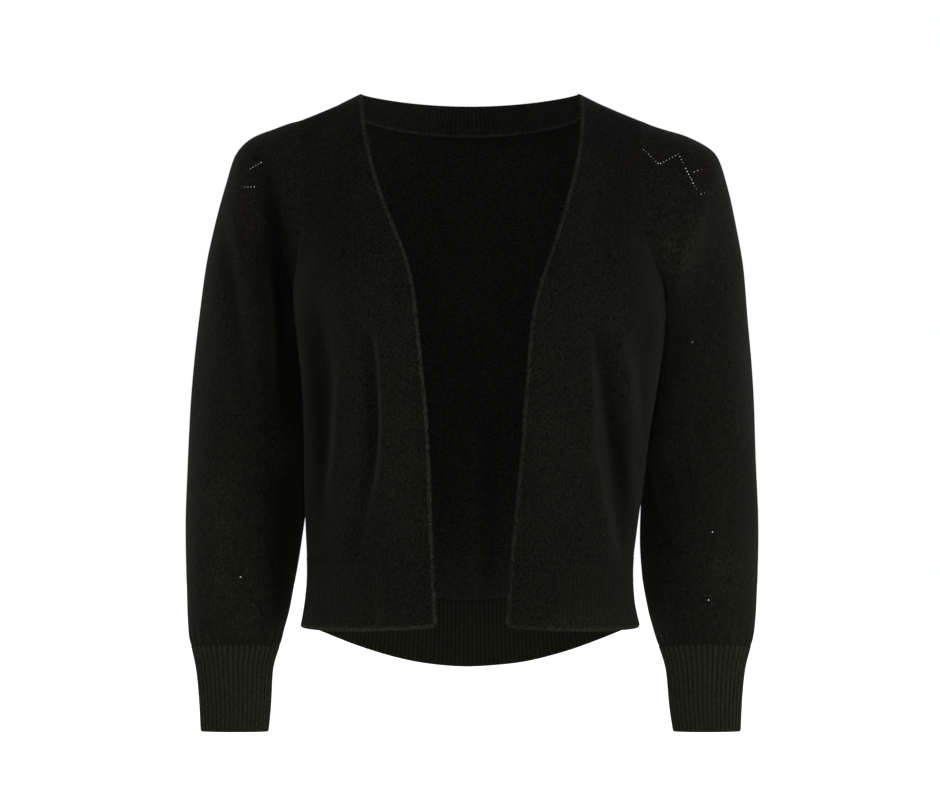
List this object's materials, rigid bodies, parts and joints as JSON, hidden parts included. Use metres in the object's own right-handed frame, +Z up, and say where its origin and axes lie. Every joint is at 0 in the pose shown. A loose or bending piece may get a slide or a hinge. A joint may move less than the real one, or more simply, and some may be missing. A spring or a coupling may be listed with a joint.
{
  "type": "knitted shrug",
  "caption": "Open-fronted cropped shrug in fine black knit, with full sleeves, deep ribbed cuffs and hem and a ribbed back neck, filled out and hollow.",
  "frame": {"origin": "on the centre plane, level with the two high shoulder points and between them, where a wearer's shoulders carry the garment", "axes": "+Z up from the cuffs to the shoulders, -Y out through the open front, +X towards the sleeve on the right as seen from the front"},
  "size_m": [0.5448, 0.2348, 0.6055],
  "materials": {
    "back": "fine plain jersey knit in matte black yarn",
    "neck_band": "fine ribbed knit in matte black yarn",
    "hem_rib_back": "ribbed knit in matte black yarn",
    "front_left": "fine plain jersey knit in matte black yarn, with a plain self-faced edge",
    "front_right": "fine plain jersey knit in matte black yarn, with a plain self-faced edge",
    "hem_rib_front_left": "ribbed knit in matte black yarn",
    "hem_rib_front_right": "ribbed knit in matte black yarn",
    "sleeve_left": "fine jersey knit in matte black yarn with rows of small openwork eyelets",
    "sleeve_right": "fine jersey knit in matte black yarn with rows of small openwork eyelets",
    "cuff_left": "ribbed knit in matte black yarn",
    "cuff_right": "ribbed knit in matte black yarn"
  },
  "bodies": {
    "root": {"back": "back", "neck_band": "neck_band", "hem_rib_back": "hem_rib_back", "front_left": "front_left", "front_right": "front_right", "hem_rib_front_left": "hem_rib_front_left", "hem_rib_front_right": "hem_rib_front_right", "sleeve_left": "sleeve_left", "sleeve_right": "sleeve_right", "cuff_left": "cuff_left", "cuff_right": "cuff_right"}
  },
  "joints": []
}
